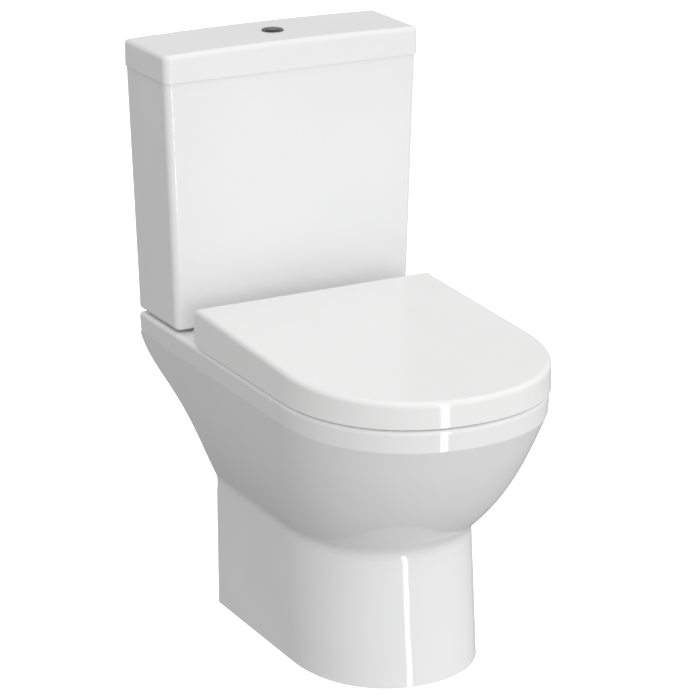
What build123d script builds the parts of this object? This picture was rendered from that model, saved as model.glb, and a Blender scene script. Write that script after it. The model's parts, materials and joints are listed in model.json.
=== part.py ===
from build123d import *
import math
import os

# Close coupled toilet, in millimetres. +Z is up and the floor is z = 0. The user sits facing -Y, and the
# wall behind is the plane y = WALL_Y. The origin is the middle of the footprint, on the floor.
# A distance "out" is measured forward from the wall.

# Overall sizes
DEPTH = 626.0
WALL_Y = DEPTH / 2
RIM_Z = 400.0

# Pan, outside
BAND_HEIGHT = 30.0
BAND_Z = RIM_Z - BAND_HEIGHT
RIM_HALF = 180.0
RIM_FRONT = DEPTH - 0.5
RIM_STRAIGHT = 432.0
BAND_INSET = 2.0
CREASE_Z = 188.0
CREASE_R = 26.0
BOWL_SECTIONS = 7
BOWL_STEEPNESS = 0.68
BOWL_BELLY = 2.2
FOOT_HALF = 126.0
FOOT_FRONT = 489.0
FOOT_STRAIGHT = 339.0
FOOT_LEAN = 16.0
FOOT_BACK = 129.0
FOOT_BACK_TOP = 165.0
SHELL_WALL = 13.0
DECK_THICK = 14.0
DECK_UNDER = RIM_Z - DECK_THICK
PLAN_FULLNESS = 0.605

# Pan, inside
OPENING_HALF = 120.0
OPENING_BACK = 290.0
OPENING_FRONT = 580.0
LIP_Z = 364.0
CHANNEL_Z = 346.0
CHANNEL_REACH = 11.0
BOWL_FLOOR_Z = 125.0
BOWL_WALL = 12.0
TRAP_BORE = 36.0
TRAP_OUTER = 47.0
SPIGOT_R = 51.0
SPIGOT_Z = 185.0
SPIGOT_OUT = 45.0
SPIGOT_LENGTH = 65.0
FLOOR_HOLE_X = 90.0
FLOOR_HOLE_OUT = 165.0
FLOOR_HOLE_R = 4.5

# Cistern
TANK_Z = 404.4
TANK_TOP = 748.8
TANK_HALF_LOW = 178.2
TANK_HALF_TOP = 189.0
TANK_OUT_LOW = 123.4
TANK_OUT_TOP = 127.0
TANK_WALL = 11.0
BACK_R = 4.0
TANK_FLOOR = 12.0
TANK_FLOOR_Z = TANK_Z + TANK_FLOOR
CORNER_R = 10.0
LID_HALF = 191.0
LID_OUT = 130.0
LID_EDGE_Z = 785.8
LID_CROWN = 3.0
LID_TOP = LID_EDGE_Z + LID_CROWN
LID_RIM = 18.0
LID_UNDER = 777.0
FITTING_OUT = 65.0
INLET_X = 135.0
CISTERN_BOLT_X = 78.0
WALL_HOLE_X = 130.0
WALL_HOLE_Z = 715.0
WALL_HOLE_R = 4.0

# Seat
HINGE_OUT = 198.0
HINGE_Z = 424.0
HINGE_X = 77.5
COVER_BACK = 179.0
COVER_Z = 402.0
COVER_HALF = 180.5
COVER_HALF_TOP = 178.0
COVER_STRAIGHT = 437.0
COVER_TOP_BACK = 453.0
COVER_TOP_FRONT = 436.0
COVER_SHELL = 4.5
COVER_HEEL_R = 17.0
RING_Z = 405.0
RING_TOP = 423.0
RING_HALF = 171.0
RING_BACK = 224.0
RING_FRONT = 617.0
PIN_R = 4.0
RUNNING = 0.05
POST_WIDTH = 14.0
BUMPER_RING = ((148.0, 310.0), (132.0, 520.0))
BUMPER_COVER = (118.0, 540.0)

# Push button, flush valve and fill valve
BUTTON_R = 10.5
BUTTON_BORE = 10.8
HOUSING_R = 12.7
BEZEL_R = 15.0
BEZEL_HEIGHT = 1.6
BUTTON_PROUD = 0.8
BUTTON_SPLIT = 2.0
STEM_FULL_X = -5.0
STEM_HALF_X = 6.4
ROD_R = 2.4
SPRING_R = 3.3
SPRING_WIRE_R = 0.45
SPRING_TURNS = 7
PLUNGER_TOP = 700.0
VALVE_TAIL_R = 29.0
VALVE_SEAT_Z = 432.0
OVERFLOW_Z = 640.0
TOWER_TOP = 660.0
G_HALF_R = 20.955 / 2
SHANK_Z = 362.0
SHANK_R = 10.2
TAIL_LENGTH = 30.0
FLOAT_Z = 560.0
FLOAT_TRAVEL = 20.0
LEVER_LENGTH = 41.0
LEVER_PIVOT_Z = 706.0
LEVER_PIVOT_X = -120.0

MIRRORED = (-1, 1)


def wall(out):
    """The y of a place that is this far out from the wall."""
    return WALL_Y - out


def d_plan(half, back, straight, front, fullness=PLAN_FULLNESS):
    """Plan outline with a straight back and sides and a full, rounded front."""
    tip = (0, wall(front))
    reach = straight + fullness * (front - straight)
    right = Bezier((half, wall(straight)), (half, wall(reach)), (half * fullness, wall(front)), tip)
    left = Bezier(tip, (-half * fullness, wall(front)), (-half, wall(reach)), (-half, wall(straight)))
    rear = Line((-half, wall(back)), (half, wall(back)))
    side_right = Line((half, wall(back)), (half, wall(straight)))
    side_left = Line((-half, wall(straight)), (-half, wall(back)))
    return make_face(rear + side_right + right + left + side_left)


def oval_plan(half, back, front, fullness=0.62):
    """Closed oval between two distances out, a little fuller than an ellipse."""
    mid = wall((back + front) / 2)
    run = (front - back) / 2
    curves = []
    for sx, sy in ((1, 1), (-1, 1), (-1, -1), (1, -1)):
        side = (sx * half, mid)
        end = (0, mid + sy * run)
        near_side = (sx * half, mid + sy * run * fullness)
        near_end = (sx * half * fullness, mid + sy * run)
        if sx == sy:
            curves.append(Bezier(side, near_side, near_end, end))
        else:
            curves.append(Bezier(end, near_end, near_side, side))
    return make_face(curves[0] + curves[1] + curves[2] + curves[3])


def front_rounded(half, out_back, out_front, radius):
    """Rectangle in plan between two distances out, its two front corners rounded."""
    centre = wall((out_back + out_front) / 2)
    plan = Pos(0, centre) * Rectangle(2 * half, out_front - out_back)
    return fillet([v for v in plan.vertices() if v.Y < centre], radius)


def soften_back(solid, tall):
    """Rounds the upright edges against the wall that are at least this tall."""
    edges = [e for e in solid.edges() if abs(e.center().Y - WALL_Y) < 0.5 and e.bounding_box().size.Z > tall]
    return fillet(edges, BACK_R)


def rounded_block(half, out_back, out_front, z0, z1, radius):
    """Upright block with rounded corners in plan."""
    plan = Pos(0, wall((out_back + out_front) / 2)) * RectangleRounded(2 * half, out_front - out_back, radius)
    return extrude(Pos(0, 0, z0) * plan, z1 - z0)


def block(x0, x1, out0, out1, z0, z1):
    """Box between two x, two distances out and two heights."""
    centre = Pos((x0 + x1) / 2, wall((out0 + out1) / 2), (z0 + z1) / 2)
    return centre * Box(abs(x1 - x0), abs(out1 - out0), z1 - z0)


def post(x, out, r, z0, z1):
    """Upright cylinder."""
    return Pos(x, wall(out), (z0 + z1) / 2) * Cylinder(r, z1 - z0)


def tube(x, out, r, bore, z0, z1):
    """Upright tube."""
    return post(x, out, r, z0, z1) - post(x, out, bore, z0 - 1, z1 + 1)


def rod_x(x0, x1, out, z, r):
    """Cylinder lying across, along X."""
    return Pos((x0 + x1) / 2, wall(out), z) * Rot(0, 90, 0) * Cylinder(r, abs(x1 - x0))


def rod_y(x, out0, out1, z, r):
    """Cylinder lying front to back, along Y."""
    return Pos(x, wall((out0 + out1) / 2), z) * Rot(90, 0, 0) * Cylinder(r, abs(out1 - out0))


def hex_nut(x, out, flats, bore, z0, z1):
    """Hexagonal nut across the given flats, its thread drawn as a plain bore."""
    plan = Pos(x, wall(out), z0) * RegularPolygon(flats / 2, 6, major_radius=False)
    return extrude(plan, z1 - z0) - post(x, out, bore, z0 - 1, z1 + 1)


def wing_nut(x, out, bore, z0, z1):
    """Round nut with two rounded wings."""
    wing = block(x - 2.5, x + 2.5, out - 19, out + 19, z0, z1)
    wing = fillet(wing.edges().filter_by(Axis.X), 3)
    return wing + post(x, out, 9, z0, z1) - post(x, out, bore, z0 - 1, z1 + 1)


def both(maker):
    """The pair of pieces that maker(side) gives on the two sides, as one group of separate solids."""
    return Compound(children=[maker(side) for side in MIRRORED])


# ---- pan ----------------------------------------------------------------------------------------

def bowl_growth(z):
    """How far the outside has swelled from the foot (0) to the band (1) at a height."""
    below = min(1.0, (BAND_Z - z) / (BAND_Z - CREASE_Z))
    return 1 - below * (BOWL_STEEPNESS + (1 - BOWL_STEEPNESS) * below ** BOWL_BELLY)


def body_section(z, inset=0.0, back=0.0):
    """Plan of the foot and bowl at a height, drawn in by the inset."""
    grown = bowl_growth(z)
    lean = FOOT_LEAN * max(0.0, 1 - z / CREASE_Z)
    half = FOOT_HALF + (RIM_HALF - BAND_INSET - FOOT_HALF) * grown - inset
    straight = FOOT_STRAIGHT + lean + (RIM_STRAIGHT - FOOT_STRAIGHT) * grown
    front = FOOT_FRONT + lean + (RIM_FRONT - BAND_INSET - FOOT_FRONT) * grown - inset
    return Pos(0, 0, z) * d_plan(half, back, straight, front)


def body_solid(z0, inset=0.0, back=0.0):
    """Foot and bowl in one: straight-sided up to the crease, then evenly spaced sections up to the band."""
    step = (BAND_Z - CREASE_Z) / (BOWL_SECTIONS - 1)
    heights = [CREASE_Z + step * i for i in range(BOWL_SECTIONS)]
    foot = loft([body_section(z0, inset, back), body_section(CREASE_Z, inset, back)], ruled=True)
    return foot + loft([body_section(z, inset, back) for z in heights])


def round_crease(body):
    """Rounds the hollow edge between the foot and the bowl, except across the flat back."""
    level = [e for e in body.edges() if abs(e.center().Z - CREASE_Z) < 0.1 and e.bounding_box().size.Z < 0.1]
    return fillet([e for e in level if abs(e.center().Y - WALL_Y) > 1], CREASE_R)


def pan_outside():
    body = round_crease(body_solid(0))
    side = Bezier(
        (wall(FOOT_BACK), FOOT_BACK_TOP), (wall(FOOT_BACK + 25), 321), (wall(13), 304), (wall(0), BAND_Z - 1))
    behind = Polyline(
        (wall(0), BAND_Z - 1), (wall(-20), BAND_Z - 1), (wall(-20), -20), (wall(FOOT_BACK), -20),
        (wall(FOOT_BACK), FOOT_BACK_TOP))
    heel = make_face(Plane.YZ * (side + behind))
    body -= extrude(heel, RIM_HALF + 20, both=True)
    low = d_plan(RIM_HALF - BAND_INSET, 0, RIM_STRAIGHT, RIM_FRONT - BAND_INSET)
    high = d_plan(RIM_HALF, 0, RIM_STRAIGHT, RIM_FRONT)
    band = loft([Pos(0, 0, BAND_Z) * low, Pos(0, 0, RIM_Z) * high], ruled=True)
    corners = [e for e in band.edges() if abs(e.center().Y - WALL_Y) < 0.5 and e.bounding_box().size.Z > 20]
    band = fillet(corners, 5)
    band = fillet(band.faces().sort_by(Axis.Z)[-1].edges(), 6)
    return body, band


def bowl_section(z, half, back, front, grow=0.0):
    return Pos(0, 0, z) * oval_plan(half + grow, back - grow, front + grow)


def bowl_inside(grow=0.0):
    """The bowl's hollow up to the flush channel; grow makes it the outside of the bowl's wall."""
    channel = CHANNEL_REACH
    levels = (
        (BOWL_FLOOR_Z - grow, 30, 360, 410),
        (150, 40, 353, 425),
        (185, 46, 350, 437),
        (215, 60, 345, 458),
        (250, 86, 330, 508),
        (295, 114, 303, 556),
        (CHANNEL_Z, OPENING_HALF + channel, OPENING_BACK - channel, OPENING_FRONT + channel))
    return loft([bowl_section(z, half, back, front, grow) for z, half, back, front in levels])


def trap_path():
    return FilletPolyline(
        (0, wall(400), 165), (0, wall(335), 140), (0, wall(225), 340), (0, wall(150), SPIGOT_Z),
        (0, wall(SPIGOT_OUT), SPIGOT_Z), radius=(70, 55, 75))


def trap(radius):
    path = trap_path()
    return sweep(Plane(origin=path @ 0, z_dir=path % 0) * Circle(radius), path=path)


def pan():
    body, band = pan_outside()
    cavity = body_solid(-1, SHELL_WALL, -5)
    cavity -= block(-RIM_HALF, RIM_HALF, 240, DEPTH, CHANNEL_Z, RIM_Z)
    cavity += block(-RIM_HALF + SHELL_WALL + 3, RIM_HALF - SHELL_WALL - 3, -5, 240, BAND_Z - 10, DECK_UNDER)
    bowl_wall = bowl_inside(BOWL_WALL)
    duct = block(-50, 50, FITTING_OUT, OPENING_BACK, 338, DECK_UNDER)
    duct += post(0, FITTING_OUT, 60, 338, DECK_UNDER)
    solid = body + band - (cavity - bowl_wall)
    solid += trap(TRAP_OUTER) + duct
    solid += rod_y(0, SPIGOT_OUT, SPIGOT_OUT + SPIGOT_LENGTH, SPIGOT_Z, SPIGOT_R)
    for side in MIRRORED:
        solid += block(side * 70, side * (FOOT_HALF - 5), FLOOR_HOLE_OUT - 20, FLOOR_HOLE_OUT + 20, 0, 16)
    channel = bowl_section(
        CHANNEL_Z, OPENING_HALF + CHANNEL_REACH, OPENING_BACK - CHANNEL_REACH, OPENING_FRONT + CHANNEL_REACH)
    mouth = extrude(bowl_section(LIP_Z - 1, OPENING_HALF, OPENING_BACK, OPENING_FRONT), RIM_Z)
    solid -= bowl_inside() + extrude(channel, LIP_Z - CHANNEL_Z) + mouth
    solid -= trap(TRAP_BORE)
    solid -= block(-36, 36, FITTING_OUT, OPENING_BACK - 5, 350, 370)
    solid -= post(0, FITTING_OUT, 48.5, 376, RIM_Z + 1) + post(0, FITTING_OUT, 30, 350, 377)
    for side in MIRRORED:
        solid -= post(side * HINGE_X, HINGE_OUT, 8, DECK_UNDER - 1, RIM_Z + 1)
        solid -= post(side * CISTERN_BOLT_X, FITTING_OUT, 6, DECK_UNDER - 1, RIM_Z + 1)
        solid -= post(side * INLET_X, FITTING_OUT, 22, DECK_UNDER - 1, RIM_Z + 1)
        solid -= post(side * FLOOR_HOLE_X, FLOOR_HOLE_OUT, FLOOR_HOLE_R, -1, 17)
    deck = solid.faces().filter_by(Plane.XY).filter_by(lambda f: abs(f.center().Z - RIM_Z) < 0.1)
    mouth_edge = deck.sort_by(SortBy.AREA)[-1].inner_wires().sort_by(SortBy.LENGTH)[-1]
    return fillet(mouth_edge.edges(), 6)


# ---- cistern ------------------------------------------------------------------------------------

def tank_section(z, inset, back):
    rise = (z - TANK_Z) / (TANK_TOP - TANK_Z)
    half = TANK_HALF_LOW + (TANK_HALF_TOP - TANK_HALF_LOW) * rise - inset
    out = TANK_OUT_LOW + (TANK_OUT_TOP - TANK_OUT_LOW) * rise - inset
    return Pos(0, 0, z) * front_rounded(half, back, out, CORNER_R - inset / 4)


def cistern_tank():
    shell = loft([tank_section(TANK_Z, 0, -1), tank_section(TANK_TOP, 0, -1)], ruled=True)
    shell -= block(-LID_HALF, LID_HALF, -5, 0, TANK_Z - 1, TANK_TOP + 1)
    shell = soften_back(shell, 300)
    shell = fillet(shell.faces().sort_by(Axis.Z)[0].edges(), 5)
    hollow = loft([tank_section(TANK_FLOOR_Z, TANK_WALL, TANK_WALL),
                   tank_section(TANK_TOP + 5, TANK_WALL, TANK_WALL)], ruled=True)
    shell -= fillet(hollow.edges().filter_by(lambda e: abs(e.center().Y - wall(TANK_WALL)) < 0.5
                                             and e.bounding_box().size.Z > 300), 8)
    shell -= post(0, FITTING_OUT, VALVE_TAIL_R + 1.5, TANK_Z - 1, TANK_FLOOR_Z + 1)
    for side in MIRRORED:
        shell -= post(side * CISTERN_BOLT_X, FITTING_OUT, 6, TANK_Z - 1, TANK_FLOOR_Z + 1)
        shell -= post(side * INLET_X, FITTING_OUT, 11.5, TANK_Z - 1, TANK_FLOOR_Z + 1)
        shell -= rod_y(side * WALL_HOLE_X, -1, TANK_WALL + 1, WALL_HOLE_Z, WALL_HOLE_R)
    return shell


def cistern_lid():
    crown_r = (LID_HALF ** 2 + LID_CROWN ** 2) / (2 * LID_CROWN)
    lid = extrude(Pos(0, 0, TANK_TOP) * front_rounded(LID_HALF, 0, LID_OUT, CORNER_R), LID_TOP + 1 - TANK_TOP)
    lid &= rod_y(0, -20, LID_OUT + 20, LID_TOP - crown_r, crown_r)
    lid = soften_back(lid, 25)
    lid = fillet(lid.faces().sort_by(Axis.Z)[-1].edges(), 7)
    lid -= rounded_block(LID_HALF - LID_RIM, LID_RIM, LID_OUT - LID_RIM, TANK_TOP - 1, LID_UNDER, 8)
    for side in MIRRORED:
        for out in (32, 96):
            lid += block(side * (LID_HALF - LID_RIM - 4), side * (TANK_HALF_TOP - TANK_WALL - 1.2),
                         out - 12, out + 12, TANK_TOP - 10, LID_UNDER + 1)
    return lid - post(0, FITTING_OUT, HOUSING_R + 0.3, LID_UNDER - 1, LID_TOP + 1)


# ---- seat ---------------------------------------------------------------------------------------

def cover_section(z, inset=0.0, back=COVER_BACK):
    rise = (z - COVER_Z) / (COVER_TOP_BACK - COVER_Z)
    half = COVER_HALF + (COVER_HALF_TOP - COVER_HALF) * rise - inset
    straight = COVER_STRAIGHT + 6 * rise
    return Pos(0, 0, z) * d_plan(half, back, straight, DEPTH - 1.5 * rise - inset)


def above_cover(drop):
    """Everything above the cover's sloping top, lowered by a drop."""
    slope = (COVER_TOP_FRONT - COVER_TOP_BACK) / (DEPTH - COVER_BACK)
    at_wall = COVER_TOP_BACK - slope * COVER_BACK - drop
    at_end = at_wall + slope * (DEPTH + 20)
    profile = Polyline(
        (wall(0), at_wall), (wall(DEPTH + 20), at_end), (wall(DEPTH + 20), 520), (wall(0), 520), close=True)
    return extrude(make_face(Plane.YZ * profile), RIM_HALF + 20, both=True)


def seat_cover():
    top = COVER_TOP_BACK + 8
    shell = loft([cover_section(COVER_Z), cover_section(top)], ruled=True) - above_cover(0)
    heel = [
        e for e in shell.edges()
        if abs(e.center().Z - COVER_Z) < 0.1 and abs(e.center().Y - wall(COVER_BACK)) < 0.1]
    shell = fillet(heel, COVER_HEEL_R)
    shell = fillet(shell.faces().sort_by(Axis.Z)[-1].edges(), 7)
    hollow = loft([cover_section(COVER_Z - 1, COVER_SHELL, COVER_BACK + COVER_SHELL),
                   cover_section(top, COVER_SHELL, COVER_BACK + COVER_SHELL)], ruled=True)
    shell -= hollow - above_cover(COVER_SHELL)
    shell -= block(-RIM_HALF + 9, RIM_HALF - 9, COVER_BACK - 5, COVER_BACK + 6, COVER_Z - 5, HINGE_Z + 12)
    for side in MIRRORED:
        lug = block(side * 87, side * 122, HINGE_OUT - 9.5, HINGE_OUT + 9.5, HINGE_Z, HINGE_Z + 26)
        lug += rod_x(side * 87, side * 122, HINGE_OUT, HINGE_Z, 9.5)
        lug -= rod_x(side * 86, side * 105, HINGE_OUT, HINGE_Z, PIN_R + RUNNING)
        lug -= rod_x(side * 104, side * 123, HINGE_OUT, HINGE_Z, 7)
        shell += lug - above_cover(COVER_SHELL / 2)
    return shell


def seat_ring():
    outer = extrude(Pos(0, 0, RING_Z) * d_plan(RING_HALF, RING_BACK, 430, RING_FRONT), RING_TOP - RING_Z)
    outer = fillet(outer.edges().filter_by(Axis.Z), 12)
    outer = fillet(outer.faces().sort_by(Axis.Z)[-1].edges(), 5)
    inner = extrude(Pos(0, 0, RING_Z - 1) * oval_plan(106, 300, 566), RING_TOP - RING_Z + 2)
    ring = outer - inner
    rim = [e for e in ring.faces().sort_by(Axis.Z)[-1].edges() if abs(e.center().X) < 107
           and wall(299) > e.center().Y > wall(567)]
    ring = fillet(rim, 5)
    ring -= block(-150, 150, RING_BACK + 12, 288, RING_Z - 1, RING_Z + 6)
    for side in MIRRORED:
        ring += block(side * 52, side * 68, HINGE_OUT, RING_BACK + 14, HINGE_Z - 12, HINGE_Z - 1)
        ring += rod_x(side * 52, side * 68, HINGE_OUT, HINGE_Z, 9)
        ring -= rod_x(side * 51, side * 69, HINGE_OUT, HINGE_Z, 6)
    return ring


def ring_bush(side):
    bush = rod_x(side * 52, side * 68, HINGE_OUT, HINGE_Z, 6)
    return bush - rod_x(side * 51, side * 69, HINGE_OUT, HINGE_Z, PIN_R + RUNNING)


def damper(side):
    body = rod_x(side * 105, side * 124, HINGE_OUT, HINGE_Z, 7)
    return body - rod_x(side * 104, side * 119, HINGE_OUT, HINGE_Z, PIN_R + RUNNING)


def hinge_pin(side):
    return rod_x(side * 51, side * 118, HINGE_OUT, HINGE_Z, PIN_R)


def hinge_post(side):
    half = POST_WIDTH / 2
    x = side * HINGE_X
    upright = block(x - half, x + half, HINGE_OUT - 8, HINGE_OUT + 8, RIM_Z + 4, HINGE_Z)
    upright += rod_x(x - half, x + half, HINGE_OUT, HINGE_Z, 8)
    return upright - rod_x(x - half - 1, x + half + 1, HINGE_OUT, HINGE_Z, PIN_R)


def hinge_base(side):
    base = post(side * HINGE_X, HINGE_OUT, 14, RIM_Z, RIM_Z + 4)
    return fillet(base.edges().sort_by(Axis.Z)[-1], 1.5)


def seat_bolt(side):
    return post(side * HINGE_X, HINGE_OUT, 4, 350, RIM_Z)


def seat_bush(side):
    return tube(side * HINGE_X, HINGE_OUT, 7.8, 4.2, DECK_UNDER, RIM_Z - 0.2)


def seat_washer(side):
    return tube(side * HINGE_X, HINGE_OUT, 13, 4.2, DECK_UNDER - 2.5, DECK_UNDER)


def seat_wing_nut(side):
    return wing_nut(side * HINGE_X, HINGE_OUT, 4.05, DECK_UNDER - 14, DECK_UNDER - 2.5)


def ring_bumpers():
    pads = []
    for x, out in BUMPER_RING:
        for side in MIRRORED:
            pad = extrude(Pos(side * x, wall(out), RIM_Z) * SlotOverall(24, 12, rotation=90), RING_Z - RIM_Z)
            pads.append(fillet(pad.faces().sort_by(Axis.Z)[0].edges(), 1.5))
    return Compound(children=pads)


def cover_bumper(side):
    x, out = BUMPER_COVER
    return post(side * x, out, 7, RING_TOP, COVER_TOP_BACK) - above_cover(COVER_SHELL)


# ---- cistern to pan -----------------------------------------------------------------------------

def coupling_gasket():
    ring = tube(0, FITTING_OUT, 48.2, VALVE_TAIL_R + 0.6, 376, TANK_Z)
    return ring - post(0, FITTING_OUT, 42, TANK_Z - 13, TANK_Z + 1)


def rest_pad(side):
    return tube(side * CISTERN_BOLT_X, FITTING_OUT, 14, 6, RIM_Z, TANK_Z)


def cistern_bolt(side):
    head = Pos(side * CISTERN_BOLT_X, wall(FITTING_OUT), TANK_FLOOR_Z + 3) * RegularPolygon(7, 6)
    return extrude(head, 5.5) + post(side * CISTERN_BOLT_X, FITTING_OUT, 4, 352, TANK_FLOOR_Z + 3)


def bolt_rubber(side):
    return tube(side * CISTERN_BOLT_X, FITTING_OUT, 12, 4.1, TANK_FLOOR_Z, TANK_FLOOR_Z + 3)


def lower_rubber(side):
    return tube(side * CISTERN_BOLT_X, FITTING_OUT, 12.5, 4.1, DECK_UNDER - 3, DECK_UNDER)


def lower_steel(side):
    return tube(side * CISTERN_BOLT_X, FITTING_OUT, 12, 4.1, DECK_UNDER - 4.6, DECK_UNDER - 3)


def cistern_wing_nut(side):
    return wing_nut(side * CISTERN_BOLT_X, FITTING_OUT, 4.05, DECK_UNDER - 17, DECK_UNDER - 4.6)


# ---- flush valve --------------------------------------------------------------------------------

def flush_valve_base():
    base = post(0, FITTING_OUT, VALVE_TAIL_R, 384, TANK_FLOOR_Z + 2)
    base += post(0, FITTING_OUT, 42, TANK_FLOOR_Z + 2, TANK_FLOOR_Z + 8)
    base += post(0, FITTING_OUT, 31, TANK_FLOOR_Z + 8, VALVE_SEAT_Z)
    base -= post(0, FITTING_OUT, 25, 380, VALVE_SEAT_Z + 1)
    for turn in range(45, 360, 90):
        rib = Pos(0, 37.5, (TANK_FLOOR_Z + 7 + 472) / 2) * Box(8, 5, 472 - TANK_FLOOR_Z - 7)
        base += Pos(0, wall(FITTING_OUT), 0) * Rot(0, 0, turn) * rib
    return base + tube(0, FITTING_OUT, 42, 35, 466, 472)


def flush_valve_washer():
    return tube(0, FITTING_OUT, 40, VALVE_TAIL_R + 0.2, TANK_FLOOR_Z, TANK_FLOOR_Z + 2)


def flush_valve_backnut():
    return hex_nut(0, FITTING_OUT, 72, VALVE_TAIL_R + 0.1, TANK_Z - 12, TANK_Z)


def flush_valve_tower():
    tower = tube(0, FITTING_OUT, 39, 35.5, 472, 480) + tube(0, FITTING_OUT, 30, 27, 476, TOWER_TOP)
    tower += tube(0, FITTING_OUT, 37, 28, 476, 480)
    for turn in (0, 90):
        slot = Rot(0, 0, turn) * Box(80, 22, 60)
        tower -= Pos(0, wall(FITTING_OUT), 618) * slot
        tower -= Pos(0, wall(FITTING_OUT), 520) * slot
    return tower


def flush_valve_stem():
    stem = post(0, FITTING_OUT, 13, 440, OVERFLOW_Z) + post(0, FITTING_OUT, 29, 436, 440)
    stem += post(0, FITTING_OUT, 13, 428, 436)
    return stem - post(0, FITTING_OUT, 10.5, 420, OVERFLOW_Z + 1)


def flush_seal():
    return tube(0, FITTING_OUT, 29.5, 13, VALVE_SEAT_Z, VALVE_SEAT_Z + 4)


def flush_float():
    ring = tube(0, FITTING_OUT, 24, 13, 500, 560)
    return fillet(ring.edges().filter_by(GeomType.CIRCLE).sort_by(SortBy.RADIUS)[-2:], 3)


def flush_actuator():
    head = post(0, FITTING_OUT, 30, TOWER_TOP, TOWER_TOP + 8)
    for x in (STEM_FULL_X, STEM_HALF_X):
        head += post(x, FITTING_OUT, 4.6, TOWER_TOP + 8, TOWER_TOP + 24)
    for x in (STEM_FULL_X, STEM_HALF_X):
        head -= post(x, FITTING_OUT, 2.85, TOWER_TOP - 1, TOWER_TOP + 25)
    return head


def plunger(x):
    return post(x, FITTING_OUT, 2.5, TOWER_TOP - 4, PLUNGER_TOP - 3) + post(x, FITTING_OUT, 4, 696, PLUNGER_TOP)


# ---- push button --------------------------------------------------------------------------------

def button_housing():
    housing = tube(0, FITTING_OUT, HOUSING_R, BUTTON_BORE, LID_UNDER - 22, LID_TOP)
    housing += post(0, FITTING_OUT, HOUSING_R, LID_UNDER - 22, LID_UNDER - 18)
    for x in (STEM_FULL_X, STEM_HALF_X):
        housing -= post(x, FITTING_OUT, ROD_R + 0.35, LID_UNDER - 23, LID_UNDER - 17)
    return housing


def button_bezel():
    ring = tube(0, FITTING_OUT, BEZEL_R, BUTTON_BORE, LID_TOP, LID_TOP + BEZEL_HEIGHT)
    return chamfer(ring.edges().filter_by(GeomType.CIRCLE).sort_by(Axis.Z)[-2:].sort_by(SortBy.RADIUS)[-1], 0.8)


def button(x0, x1, stem_x):
    """One side of the split button, between two x, with its stem."""
    top = LID_TOP + BEZEL_HEIGHT + BUTTON_PROUD
    disc = post(0, FITTING_OUT, BUTTON_R, top - 5, top)
    disc = fillet(disc.edges().filter_by(GeomType.CIRCLE).sort_by(Axis.Z)[-1], 1)
    disc &= block(x0, x1, FITTING_OUT - 12, FITTING_OUT + 12, top - 6, top + 1)
    return disc + post(stem_x, FITTING_OUT, ROD_R, LID_UNDER - 26, top - 4)


def push_rod(x):
    return post(x, FITTING_OUT, ROD_R, PLUNGER_TOP + 0.4, LID_UNDER - 26)


def button_spring(x):
    """Return spring round a button's stem, from the housing's floor to the underside of the button."""
    low = LID_UNDER - 18 + SPRING_WIRE_R
    high = LID_TOP + BEZEL_HEIGHT + BUTTON_PROUD - 5 - SPRING_WIRE_R
    coil = Pos(x, wall(FITTING_OUT), low) * Helix((high - low) / SPRING_TURNS, high - low, SPRING_R)
    return sweep(Plane(origin=coil @ 0, z_dir=coil % 0) * Circle(SPRING_WIRE_R), path=coil)


def lid_washer():
    return tube(0, FITTING_OUT, 19, HOUSING_R + 0.1, LID_UNDER - 2.5, LID_UNDER)


def lid_nut():
    return hex_nut(0, FITTING_OUT, 36, HOUSING_R + 0.05, LID_UNDER - 9, LID_UNDER - 2.5)


# ---- fill valve ---------------------------------------------------------------------------------

def fill_shank():
    shank = post(-INLET_X, FITTING_OUT, G_HALF_R, SHANK_Z, SHANK_Z + TAIL_LENGTH)
    shank += post(-INLET_X, FITTING_OUT, SHANK_R, SHANK_Z, 440)
    shank += post(-INLET_X, FITTING_OUT, 17, TANK_FLOOR_Z + 3, TANK_FLOOR_Z + 8)
    return shank - post(-INLET_X, FITTING_OUT, 6, SHANK_Z - 1, 441)


def inlet_washer(x):
    return tube(x, FITTING_OUT, 17, SHANK_R + 0.1, TANK_FLOOR_Z, TANK_FLOOR_Z + 3)


def inlet_nut(x):
    return hex_nut(x, FITTING_OUT, 30, SHANK_R + 0.05, TANK_Z - 10, TANK_Z)


def fill_riser():
    return tube(-INLET_X, FITTING_OUT, 9, 6, 440, 650)


def fill_head():
    head = post(-INLET_X, FITTING_OUT, 17, 650, 690) - post(-INLET_X, FITTING_OUT, 6, 649, 670)
    head += block(-INLET_X + 10, -INLET_X + 36, FITTING_OUT - 6, FITTING_OUT + 6, 652, 664)
    head += post(-INLET_X + 41, FITTING_OUT, 8, 652, 668)
    ear = block(LEVER_PIVOT_X - 5, LEVER_PIVOT_X + 5, FITTING_OUT + 7, FITTING_OUT + 10, 680, 712)
    head += block(LEVER_PIVOT_X - 5, LEVER_PIVOT_X + 5, FITTING_OUT - 10, FITTING_OUT + 10, 680, 690)
    head += ear + Pos(0, 17, 0) * ear
    return head - rod_y(LEVER_PIVOT_X, FITTING_OUT - 12, FITTING_OUT + 12, LEVER_PIVOT_Z, 1.5)


def fill_pin():
    return rod_y(LEVER_PIVOT_X, FITTING_OUT - 11, FITTING_OUT + 11, LEVER_PIVOT_Z, 1.5)


def silencer_tube():
    return tube(-INLET_X + 41, FITTING_OUT, 7, 5.5, 432, 652)


def lever_tilt():
    """The lever's slope at rest, with the float at the bottom of its travel."""
    return math.degrees(math.asin(FLOAT_TRAVEL / 2 / LEVER_LENGTH))


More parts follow.
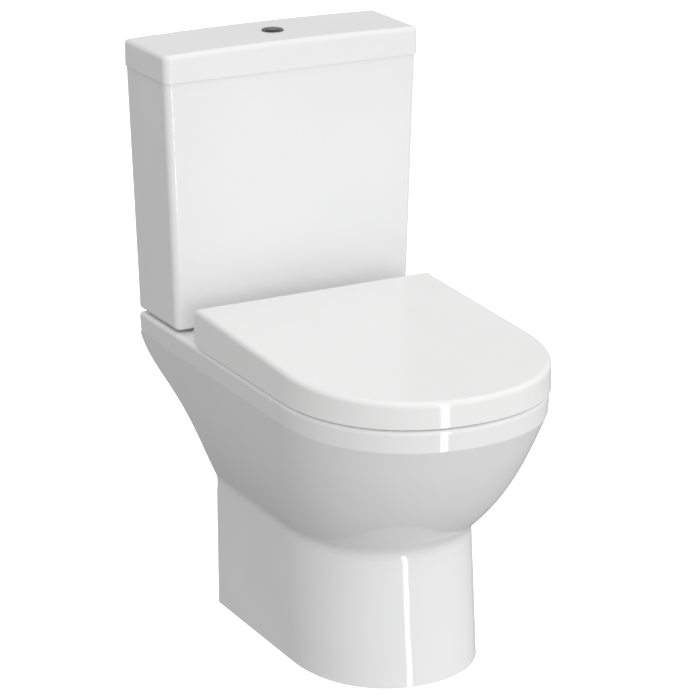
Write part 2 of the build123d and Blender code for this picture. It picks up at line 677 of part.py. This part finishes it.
def fill_lever():
    arm = Pos(-LEVER_LENGTH / 2, 0, 0) * Box(LEVER_LENGTH + 16, 12, 3)
    arm += Rot(90, 0, 0) * Cylinder(4, 12)
    arm -= Rot(90, 0, 0) * Cylinder(1.55, 14)
    arm -= Pos(-LEVER_LENGTH, 0, 0) * Box(8, 5, 8)
    return Pos(LEVER_PIVOT_X, wall(FITTING_OUT), LEVER_PIVOT_Z) * Rot(0, -lever_tilt(), 0) * arm


def fill_float():
    cup = tube(-INLET_X, FITTING_OUT, 32, 29.5, FLOAT_Z, FLOAT_Z + 60)
    cup += post(-INLET_X, FITTING_OUT, 32, FLOAT_Z + 57, FLOAT_Z + 60)
    cup += tube(-INLET_X, FITTING_OUT, 12.5, 10.5, FLOAT_Z, FLOAT_Z + 60)
    return cup - post(-INLET_X, FITTING_OUT, 10.5, FLOAT_Z - 1, FLOAT_Z + 61)


def fill_link():
    x = LEVER_PIVOT_X - LEVER_LENGTH
    return post(x, FITTING_OUT, 1.5, FLOAT_Z + 60, 704) + post(x, FITTING_OUT, 4, FLOAT_Z + 60, FLOAT_Z + 63)


# ---- blanked inlet ------------------------------------------------------------------------------

def blanking_plug():
    plug = post(INLET_X, FITTING_OUT, SHANK_R, 388, TANK_FLOOR_Z + 3)
    return plug + post(INLET_X, FITTING_OUT, 17, TANK_FLOOR_Z + 3, TANK_FLOOR_Z + 8)


def pieces():
    edge = BUTTON_SPLIT
    return {
        "pan": pan(),
        "cistern_tank": cistern_tank(),
        "cistern_lid": cistern_lid(),
        "seat_cover": seat_cover(),
        "seat_ring": seat_ring(),
        "ring_bushes": both(ring_bush),
        "soft_close_dampers": both(damper),
        "hinge_pins": both(hinge_pin),
        "hinge_posts": both(hinge_post),
        "hinge_base_covers": both(hinge_base),
        "seat_bolts": both(seat_bolt),
        "seat_bolt_bushes": both(seat_bush),
        "seat_bolt_washers": both(seat_washer),
        "seat_wing_nuts": both(seat_wing_nut),
        "ring_bumpers": ring_bumpers(),
        "cover_bumpers": both(cover_bumper),
        "coupling_gasket": coupling_gasket(),
        "cistern_rest_pads": both(rest_pad),
        "cistern_bolts": both(cistern_bolt),
        "cistern_bolt_rubbers": both(bolt_rubber),
        "cistern_lower_rubbers": both(lower_rubber),
        "cistern_steel_washers": both(lower_steel),
        "cistern_wing_nuts": both(cistern_wing_nut),
        "flush_valve_base": flush_valve_base(),
        "flush_valve_washer": flush_valve_washer(),
        "flush_valve_backnut": flush_valve_backnut(),
        "flush_valve_tower": flush_valve_tower(),
        "flush_valve_stem": flush_valve_stem(),
        "flush_seal": flush_seal(),
        "flush_float": flush_float(),
        "flush_actuator": flush_actuator(),
        "plunger_full": plunger(STEM_FULL_X),
        "plunger_half": plunger(STEM_HALF_X),
        "button_housing": button_housing(),
        "button_bezel": button_bezel(),
        "button_full": button(-BUTTON_R, edge, STEM_FULL_X),
        "button_half": button(edge + 0.4, BUTTON_R, STEM_HALF_X),
        "push_rod_full": push_rod(STEM_FULL_X),
        "push_rod_half": push_rod(STEM_HALF_X),
        "button_spring_full": button_spring(STEM_FULL_X),
        "button_spring_half": button_spring(STEM_HALF_X),
        "button_washer": lid_washer(),
        "button_nut": lid_nut(),
        "fill_valve_shank": fill_shank(),
        "fill_valve_washer": inlet_washer(-INLET_X),
        "fill_valve_nut": inlet_nut(-INLET_X),
        "fill_valve_riser": fill_riser(),
        "fill_valve_head": fill_head(),
        "fill_valve_pin": fill_pin(),
        "fill_valve_lever": fill_lever(),
        "fill_valve_link": fill_link(),
        "fill_valve_float": fill_float(),
        "silencer_tube": silencer_tube(),
        "blanking_plug": blanking_plug(),
        "blanking_washer": inlet_washer(INLET_X),
        "blanking_nut": inlet_nut(INLET_X)}


def main():
    os.makedirs("parts", exist_ok=True)
    for name, piece in pieces().items():
        export_step(piece, f"parts/{name}.step")


main()
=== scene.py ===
import json
import math

import bpy
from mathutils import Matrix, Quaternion, Vector


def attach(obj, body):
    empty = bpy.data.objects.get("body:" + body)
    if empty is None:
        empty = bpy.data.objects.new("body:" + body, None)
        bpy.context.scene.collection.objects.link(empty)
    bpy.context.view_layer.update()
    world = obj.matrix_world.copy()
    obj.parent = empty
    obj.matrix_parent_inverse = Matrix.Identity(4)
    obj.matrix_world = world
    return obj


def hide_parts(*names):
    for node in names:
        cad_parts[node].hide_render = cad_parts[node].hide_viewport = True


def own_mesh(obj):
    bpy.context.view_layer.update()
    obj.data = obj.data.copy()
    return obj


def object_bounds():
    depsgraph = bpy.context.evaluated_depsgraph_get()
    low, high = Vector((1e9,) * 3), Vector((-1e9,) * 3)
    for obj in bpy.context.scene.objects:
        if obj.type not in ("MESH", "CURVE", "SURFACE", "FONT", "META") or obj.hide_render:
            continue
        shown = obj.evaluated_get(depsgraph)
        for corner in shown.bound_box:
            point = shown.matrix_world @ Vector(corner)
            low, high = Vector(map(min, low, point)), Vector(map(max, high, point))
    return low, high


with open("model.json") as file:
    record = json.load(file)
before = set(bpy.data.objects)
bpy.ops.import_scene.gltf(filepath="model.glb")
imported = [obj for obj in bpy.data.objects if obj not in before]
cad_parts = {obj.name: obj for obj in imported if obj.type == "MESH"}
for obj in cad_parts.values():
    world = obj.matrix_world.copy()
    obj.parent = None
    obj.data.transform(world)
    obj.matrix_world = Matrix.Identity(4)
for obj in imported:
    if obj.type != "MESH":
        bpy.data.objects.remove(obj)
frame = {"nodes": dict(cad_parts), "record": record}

CAD_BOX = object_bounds()
NODES = frame["nodes"]
SCENE = bpy.context.scene

# Places are in metres in the frame of the CAD model: +Z up, the user's side towards -Y, the wall at +Y.
WALL_Y = CAD_BOX[1].y
MIDDLE = (CAD_BOX[0] + CAD_BOX[1]) / 2

# Camera, its place measured from the middle of the wall's foot, its angles in degrees
CAMERA_FROM_WALL = Vector((-1.7849, -3.6272, 1.6703))
CAMERA_YAW = 28.10
CAMERA_PITCH = -18.57
CAMERA_ROLL = -0.18
CAMERA_LENS = 154.3
SENSOR_WIDTH = 36.0

# Surroundings: brightest azimuth and elevation, mean brightness and its swing to either side
WORLD_BRIGHT_SIDE = (46.5, 55.1)
WORLD_MEAN = 0.606
WORLD_SWING = 0.437

# Lights: azimuth, elevation, distance, width, height and radiance. The strip shows only as a reflection.
STRIP_LIGHT = (3, -2, 3.4, 0.34, 5.0, 7.0)
FILL_LIGHT = (-20, 14, 4.0, 2.2, 2.2, 2.14)
FLOOR_HALF = 30.0
FLOOR_GLOW = 0.7

# The foot's edge is bare clay up to the first height and fully glazed from the second
WIPED_Z = 0.0001
GLAZED_Z = 0.0006

# Thread pitches, and the wave texture's ridge spacing at a scale of 1
SCREW_PITCH = 0.00125
PIPE_PITCH = 0.00181
WAVE_UNIT = math.pi / 10

# Nodes whose finish isn't simply their slot's
SPECIAL_FINISH = {
    "button_bezel": "dark_chrome",
    "button_full": "dark_chrome",
    "button_half": "dark_chrome",
    "cistern_bolts": "threaded_brass",
    "seat_bolts": "threaded_steel",
    "fill_valve_shank": "threaded_plastic",
    "blanking_plug": "threaded_plastic"}


# ---- camera, lights and floor -------------------------------------------------------------------

def direction(azimuth, elevation):
    """Unit vector from the object towards this azimuth (0 is the user's side, 90 is +X) and elevation."""
    a, e = math.radians(azimuth), math.radians(elevation)
    return Vector((math.sin(a) * math.cos(e), -math.cos(a) * math.cos(e), math.sin(e)))


def make_camera():
    data = bpy.data.cameras.new("camera")
    data.lens = CAMERA_LENS
    data.sensor_width = SENSOR_WIDTH
    camera = bpy.data.objects.new("camera", data)
    SCENE.collection.objects.link(camera)
    camera.location = CAMERA_FROM_WALL + Vector((0, WALL_Y, 0))
    towards = direction(-CAMERA_YAW, -CAMERA_PITCH)
    camera.rotation_mode = "QUATERNION"
    roll = Quaternion(towards, math.radians(CAMERA_ROLL))
    camera.rotation_quaternion = roll @ towards.to_track_quat("Z", "Y")
    SCENE.camera = camera


def soft_light(name, azimuth, elevation, distance, width, height, radiance, diffuse=True, glossy=True):
    """Rectangular light facing the middle of the object, as bright as the radiance says."""
    data = bpy.data.lights.new(name, "AREA")
    data.shape = "RECTANGLE"
    data.size = width
    data.size_y = height
    data.energy = radiance * math.pi * width * height
    light = bpy.data.objects.new(name, data)
    SCENE.collection.objects.link(light)
    towards = direction(azimuth, elevation)
    light.location = MIDDLE + towards * distance
    light.rotation_mode = "QUATERNION"
    light.rotation_quaternion = towards.to_track_quat("Z", "Y")
    light.visible_camera = False
    light.visible_diffuse = diffuse
    light.visible_glossy = glossy


def make_world():
    """Studio surroundings whose brightness rises evenly from the user's lower left to the upper right."""
    world = bpy.data.worlds.new("studio")
    SCENE.world = world
    world.use_nodes = True
    nodes, links = world.node_tree.nodes, world.node_tree.links
    background = nodes["Background"]
    background.inputs["Color"].default_value = (1, 1, 1, 1)
    coordinates = nodes.new("ShaderNodeTexCoord")
    facing = nodes.new("ShaderNodeVectorMath")
    facing.operation = "DOT_PRODUCT"
    facing.inputs[1].default_value = direction(*WORLD_BRIGHT_SIDE)
    level = nodes.new("ShaderNodeMath")
    level.operation = "MULTIPLY_ADD"
    level.inputs[1].default_value = WORLD_SWING
    level.inputs[2].default_value = WORLD_MEAN
    links.new(coordinates.outputs["Generated"], facing.inputs[0])
    links.new(facing.outputs["Value"], level.inputs[0])
    links.new(level.outputs["Value"], background.inputs["Strength"])


def make_floor():
    """Plain pale floor."""
    mesh = bpy.data.meshes.new("floor")
    corners = [(x * FLOOR_HALF, y * FLOOR_HALF, 0) for x, y in ((-1, -1), (1, -1), (1, 1), (-1, 1))]
    mesh.from_pydata(corners, [], [(0, 1, 2, 3)])
    floor = bpy.data.objects.new("floor", mesh)
    SCENE.collection.objects.link(floor)
    paint = bpy.data.materials.new("floor_paint")
    paint.use_nodes = True
    shader = paint.node_tree.nodes["Principled BSDF"]
    shader.inputs["Base Color"].default_value = (0.9, 0.9, 0.9, 1)
    shader.inputs["Roughness"].default_value = 1.0
    shader.inputs["Specular IOR Level"].default_value = 0.0
    shader.inputs["Emission Color"].default_value = (1, 1, 1, 1)
    shader.inputs["Emission Strength"].default_value = FLOOR_GLOW
    mesh.materials.append(paint)
    floor.visible_glossy = False
    floor.visible_diffuse = False
    floor.visible_shadow = False


def make_studio():
    make_camera()
    make_world()
    make_floor()
    soft_light("strip", *STRIP_LIGHT, diffuse=False)
    soft_light("fill", *FILL_LIGHT, glossy=False)
    SCENE.view_settings.view_transform = "Standard"


# ---- materials ----------------------------------------------------------------------------------

class Paint:
    """A material under construction: a Principled shader fed by textures in the object's own space."""

    def __init__(self, name):
        self.material = bpy.data.materials.new(name)
        self.material.use_nodes = True
        self.tree = self.material.node_tree
        self.shader = self.tree.nodes["Principled BSDF"]
        self.space = self.add("ShaderNodeTexCoord").outputs["Object"]

    def add(self, kind, settings=None, **inputs):
        node = self.tree.nodes.new(kind)
        for key, value in (settings or {}).items():
            setattr(node, key, value)
        for key, value in inputs.items():
            self.feed(node, key.replace("_", " "), value)
        return node

    def feed(self, node, socket, value):
        if isinstance(value, bpy.types.NodeSocket):
            self.tree.links.new(value, node.inputs[socket])
        else:
            node.inputs[socket].default_value = value

    def fix(self, **inputs):
        """Values that are the same all over the surface."""
        for key, value in inputs.items():
            self.shader.inputs[key.replace("_", " ")].default_value = value

    def stretched(self, scale):
        return self.add("ShaderNodeMapping", Vector=self.space, Scale=scale).outputs["Vector"]

    def noise(self, scale, detail=3.0, roughness=0.5, where=None):
        node = self.add(
            "ShaderNodeTexNoise", Vector=where or self.space, Scale=scale, Detail=detail, Roughness=roughness)
        return node.outputs["Fac"]

    def cells(self, scale):
        return self.add("ShaderNodeTexVoronoi", Vector=self.space, Scale=scale).outputs["Distance"]

    def thread(self, pitch):
        """Ridges one pitch apart along an upright screw."""
        settings = {"wave_type": "BANDS", "bands_direction": "Z", "wave_profile": "TRI"}
        node = self.add("ShaderNodeTexWave", settings, Vector=self.space, Scale=WAVE_UNIT / pitch)
        return node.outputs["Fac"]

    def between(self, factor, low, high, start=0.3, end=0.7):
        """A number that runs from low to high as the factor runs from start to end."""
        node = self.add(
            "ShaderNodeMapRange", Value=factor, From_Min=start, From_Max=end, To_Min=low, To_Max=high)
        return node.outputs["Result"]

    def tint(self, factor, dark, light, start=0.3, end=0.7):
        node = self.add("ShaderNodeValToRGB", Fac=factor)
        for stop, place, colour in zip(node.color_ramp.elements, (start, end), (dark, light)):
            stop.position = place
            stop.color = (*colour, 1)
        return node.outputs["Color"]

    def mix(self, factor, first, second):
        node = self.add("ShaderNodeMix", {"data_type": "RGBA"})
        self.feed(node, 0, factor)
        self.feed(node, 6, first)
        self.feed(node, 7, second)
        return node.outputs[2]

    def relief(self, *layers):
        """Bump built from (height, depth in metres) layers."""
        normal = None
        for height, depth in layers:
            node = self.add("ShaderNodeBump", Height=height, Distance=depth, Strength=1.0)
            if normal:
                self.feed(node, "Normal", normal)
            normal = node.outputs["Normal"]
        self.feed(self.shader, "Normal", normal)

    def colour(self, value):
        self.feed(self.shader, "Base Color", value)

    def gloss(self, value):
        self.feed(self.shader, "Roughness", value)


def glaze(name, body=(0.90, 0.903, 0.903), lit=(0.925, 0.927, 0.925)):
    """Glazed sanitary ceramic: a faint cloudiness of tone, a wavy fired surface and bare clay underneath."""
    paint = Paint(name)
    cloud = paint.noise(5.0, 2.0)
    height = paint.add("ShaderNodeSeparateXYZ", Vector=paint.space).outputs["Z"]
    bare = paint.between(height, 1.0, 0.0, WIPED_Z, GLAZED_Z)
    clay = paint.tint(paint.noise(700.0, 4.0), (0.60, 0.56, 0.50), (0.70, 0.66, 0.60))
    paint.colour(paint.mix(bare, paint.tint(cloud, body, lit), clay))
    sheen = paint.between(paint.noise(60.0), 0.045, 0.075)
    rough = paint.add("ShaderNodeMath", {"operation": "MAXIMUM"})
    paint.feed(rough, 0, sheen)
    paint.feed(rough, 1, paint.between(height, 0.8, 0.0, WIPED_Z, GLAZED_Z))
    paint.gloss(rough.outputs[0])
    paint.relief((paint.noise(14.0, 1.0), 0.0006), (paint.noise(160.0, 2.0), 0.000012))
    paint.fix(IOR=1.52)
    return paint.material


def seat_plastic(name):
    """Glossy moulded seat: pressed smooth, with a very fine flow texture."""
    paint = Paint(name)
    flow = paint.noise(4.0, 2.0, where=paint.stretched((1.0, 0.4, 1.0)))
    paint.colour(paint.tint(flow, (0.905, 0.905, 0.90), (0.93, 0.93, 0.925)))
    paint.gloss(paint.between(paint.noise(90.0, 3.0), 0.07, 0.12))
    paint.relief((paint.noise(22.0, 1.0), 0.0002), (paint.noise(420.0, 2.0), 0.000008))
    paint.fix(IOR=1.50)
    return paint.material


def plated(name, colour, edge, roughness):
    """Plated or polished metal with a faint haze and rubbed patches."""
    paint = Paint(name)
    haze = paint.noise(130.0, 4.0, 0.6)
    paint.colour(paint.tint(haze, colour, edge))
    paint.gloss(paint.between(paint.noise(900.0, 3.0), roughness, roughness * 1.8))
    paint.relief((paint.noise(600.0, 2.0), 0.000006))
    paint.fix(Metallic=1.0)
    return paint.material


def brushed(name, dark, light, along=(1.0, 1.0, 40.0), pitch=None):
    """Machined metal, its fine tool lines running round the piece, threaded where it has a pitch."""
    paint = Paint(name)
    lines = paint.noise(220.0, 5.0, 0.7, where=paint.stretched(along))
    paint.colour(paint.tint(lines, dark, light))
    paint.gloss(paint.between(lines, 0.22, 0.42))
    layers = [(lines, 0.00003)]
    if pitch:
        layers.append((paint.thread(pitch), pitch / 2))
    paint.relief(*layers)
    paint.fix(Metallic=1.0)
    return paint.material


def moulded(name, dark, light, roughness=0.42, grain=1500.0, pitch=None):
    """Matt moulded plastic with a spark-eroded grain, threaded where it has a pitch."""
    paint = Paint(name)
    paint.colour(paint.tint(paint.noise(35.0, 3.0), dark, light))
    paint.gloss(paint.between(paint.noise(300.0, 3.0), roughness, roughness + 0.14))
    layers = [(paint.noise(grain, 3.0, 0.65), 0.00003), (paint.noise(60.0, 1.0), 0.00008)]
    if pitch:
        layers.append((paint.thread(pitch), pitch / 2))
    paint.relief(*layers)
    return paint.material


def rubber(name, dark, light, roughness=0.62):
    """Moulded rubber with a dusty, slightly uneven skin."""
    paint = Paint(name)
    paint.colour(paint.tint(paint.noise(240.0, 5.0, 0.6), dark, light))
    paint.gloss(paint.between(paint.noise(500.0, 3.0), roughness, roughness + 0.2))
    paint.relief((paint.noise(1100.0, 4.0, 0.7), 0.00005))
    return paint.material


def foam(name):
    """Dense closed-cell foam, its skin pitted with small cells, each pit painted darker towards its bottom as
    painted shade.
    """
    paint = Paint(name)
    pits_and_pit_shade = paint.cells(850.0)
    # Painted shade: the colour darkens towards the bottom of each pit, following the same field that dents
    # the surface.
    paint.colour(paint.tint(pits_and_pit_shade, (0.020, 0.020, 0.022), (0.075, 0.075, 0.08), 0.05, 0.6))
    paint.gloss(paint.between(paint.noise(200.0), 0.8, 0.95))
    paint.relief((pits_and_pit_shade, 0.0003), (paint.noise(120.0, 4.0), 0.0002))
    return paint.material


def make_materials():
    steel = ((0.46, 0.46, 0.47), (0.70, 0.70, 0.71))
    brass = ((0.62, 0.44, 0.18), (0.86, 0.68, 0.36))
    white = ((0.74, 0.74, 0.72), (0.83, 0.83, 0.81))
    return {
        "ceramic": glaze("sanitary_glaze"),
        "seat_white": seat_plastic("seat_gloss"),
        "chrome": plated("bright_chrome", (0.62, 0.63, 0.65), (0.78, 0.79, 0.80), 0.06),
        "dark_chrome": plated("dark_chrome", (0.045, 0.045, 0.05), (0.08, 0.08, 0.085), 0.10),
        "steel": brushed("brushed_steel", *steel),
        "threaded_steel": brushed("threaded_steel", *steel, pitch=SCREW_PITCH),
        "brass": brushed("turned_brass", *brass),
        "threaded_brass": brushed("threaded_brass", *brass, pitch=SCREW_PITCH),
        "black_rubber": rubber("black_rubber", (0.018, 0.018, 0.02), (0.05, 0.05, 0.052)),
        "clear_rubber": rubber("milky_rubber", (0.66, 0.67, 0.67), (0.80, 0.81, 0.80), 0.3),
        "foam": foam("coupling_foam"),
        "white_plastic": moulded("white_moulding", *white),
        "threaded_plastic": moulded("threaded_moulding", *white, pitch=PIPE_PITCH),
        "blue_plastic": moulded("blue_moulding", (0.03, 0.13, 0.32), (0.05, 0.18, 0.40)),
        "grey_plastic": moulded("grey_moulding", (0.22, 0.225, 0.23), (0.30, 0.305, 0.31))}


def paint_nodes(materials):
    """Each CAD node gets the material of its slot."""
    for part in frame["record"]["subparts"]:
        mesh_object = NODES[part["node"]]
        mesh_object.data.materials.clear()
        finish = SPECIAL_FINISH.get(part["node"], part["material_slot"])
        mesh_object.data.materials.append(materials[finish])


def coil_springs():
    """The button springs, as copies attached to the cistern lid's body."""
    for side in ("full", "half"):
        solid = NODES[f"button_spring_{side}"]
        coil = bpy.data.objects.new(f"coil_spring_{side}", solid.data.copy())
        SCENE.collection.objects.link(coil)
        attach(coil, "cistern_lid")
        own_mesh(coil)
        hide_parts(solid.name)


make_studio()
paint_nodes(make_materials())
coil_springs()
